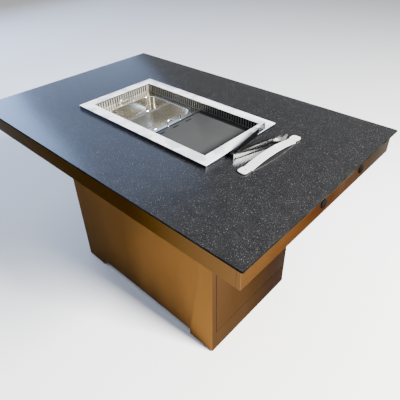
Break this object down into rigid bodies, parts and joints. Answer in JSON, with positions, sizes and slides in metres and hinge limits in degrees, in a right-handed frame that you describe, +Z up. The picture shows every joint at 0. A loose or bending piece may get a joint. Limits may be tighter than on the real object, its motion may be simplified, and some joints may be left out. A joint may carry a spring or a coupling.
{
  "type": "hot pot and barbecue table",
  "caption": "Dining table with stone top, bronze pedestal cabinet and a sunken unit with divided pan, griddle and slotted fume intakes, plus tongs and pan lifter.",
  "frame": {"origin": "on the floor under the middle of the table top", "axes": "+X along the table towards the end with the switches and the cabinet door, +Y to the rear, +Z up"},
  "size_m": [1.2, 0.78, 0.7572],
  "materials": {
    "stone": "polished black stone with fine pale speckles",
    "bronze": "bronze-coloured stainless sheet, satin",
    "steel": "brushed stainless steel",
    "pan_steel": "drawn stainless steel, semi-mirror",
    "griddle_coat": "matt dark grey cooking coat",
    "frame_steel": "powder-coated square tube",
    "galvanised": "galvanised sheet",
    "heater_plate": "cast heater plate",
    "element": "oxidised heating tube",
    "filter_media": "pleated filter pack",
    "motor_black": "black enamel",
    "nylon": "black nylon",
    "button_black": "black button cap",
    "switch_metal": "bright ring and grey module"
  },
  "bodies": {
    "root": {"stone_top": "stone", "long_rails": "frame_steel", "end_rails": "frame_steel", "cross_rails": "frame_steel", "corner_posts": "frame_steel", "base_rails": "frame_steel", "apron_front": "bronze", "apron_rear": "bronze", "apron_left": "bronze", "apron_right": "bronze", "rim_frame": "steel", "grille_front": "steel", "grille_rear": "steel", "grille_left": "steel", "grille_right": "steel", "ledge_frame": "steel", "well_tub": "galvanised", "ledge_brackets": "galvanised", "tub_clamps": "galvanised", "clamp_screws": "galvanised", "pan_heater": "heater_plate", "heater_cradles": "galvanised", "griddle_heater_tray": "galvanised", "griddle_heater": "element", "drip_tray": "steel", "cabinet_front": "bronze", "cabinet_rear": "bronze", "cabinet_left": "bronze", "plinth_panel": "bronze", "kick_panel": "bronze", "header_panel": "bronze", "base_plate": "galvanised", "glides": "nylon", "door_pivots": "frame_steel", "door_catch": "nylon", "exhaust_duct": "galvanised", "filter_box": "galvanised", "filter_rails": "frame_steel", "blower_housing": "galvanised", "motor": "motor_black", "outlet_elbow": "galvanised", "control_box": "galvanised", "cable_gland": "nylon", "switch_pan": "switch_metal", "switch_griddle": "switch_metal"},
    "door": {"door_panel": "bronze", "door_striker": "galvanised"},
    "pan": {"pan_basin": "pan_steel", "pan_divider": "pan_steel", "pan_handles": "pan_steel"},
    "griddle": {"griddle_plate": "griddle_coat"},
    "filter": {"filter_cartridge": "filter_media"},
    "fan": {"impeller": "galvanised"},
    "pan_button": {"button_pan": "button_black"},
    "griddle_button": {"button_griddle": "button_black"},
    "tongs": {"tongs_arm_slotted": "steel", "tongs_pin": "steel"},
    "tongs_spoon": {"tongs_arm_spoon": "steel"},
    "lifter": {"pan_lifter": "steel"}
  },
  "joints": [
    {"name": "door_hinge", "type": "hinge", "parent": "root", "child": "door", "pos_m": [0.364, 0.21, 0.355], "axis": [0, 0, 1], "range_deg": [0, 100]},
    {"name": "pan_lift", "type": "slide", "parent": "root", "child": "pan", "axis": [0, 0, 1], "range_m": [0, 0.12]},
    {"name": "griddle_lift", "type": "slide", "parent": "root", "child": "griddle", "axis": [0, 0, 1], "range_m": [0, 0.1]},
    {"name": "filter_pull", "type": "slide", "parent": "root", "child": "filter", "axis": [1, 0, 0], "range_m": [0, 0.2]},
    {"name": "fan_spin", "type": "hinge", "parent": "root", "child": "fan", "pos_m": [0, 0, 0.15], "axis": [0, 0, 1], "continuous": true},
    {"name": "pan_button_press", "type": "slide", "parent": "root", "child": "pan_button", "axis": [-1, 0, 0], "range_m": [0, 0.003], "stiffness_N_per_m": 300},
    {"name": "griddle_button_press", "type": "slide", "parent": "root", "child": "griddle_button", "axis": [-1, 0, 0], "range_m": [0, 0.003], "stiffness_N_per_m": 300},
    {"name": "tongs_lift", "type": "slide", "parent": "root", "child": "tongs", "axis": [0, 0, 1], "range_m": [0, 0.15]},
    {"name": "tongs_squeeze", "type": "hinge", "parent": "tongs", "child": "tongs_spoon", "pos_m": [0.319, -0.076, 0.73], "axis": [0, 0, 1], "range_deg": [0, 20], "stiffness_Nm_per_rad": 0.3},
    {"name": "lifter_lift", "type": "slide", "parent": "root", "child": "lifter", "axis": [0, 0, 1], "range_m": [0, 0.15]}
  ]
}
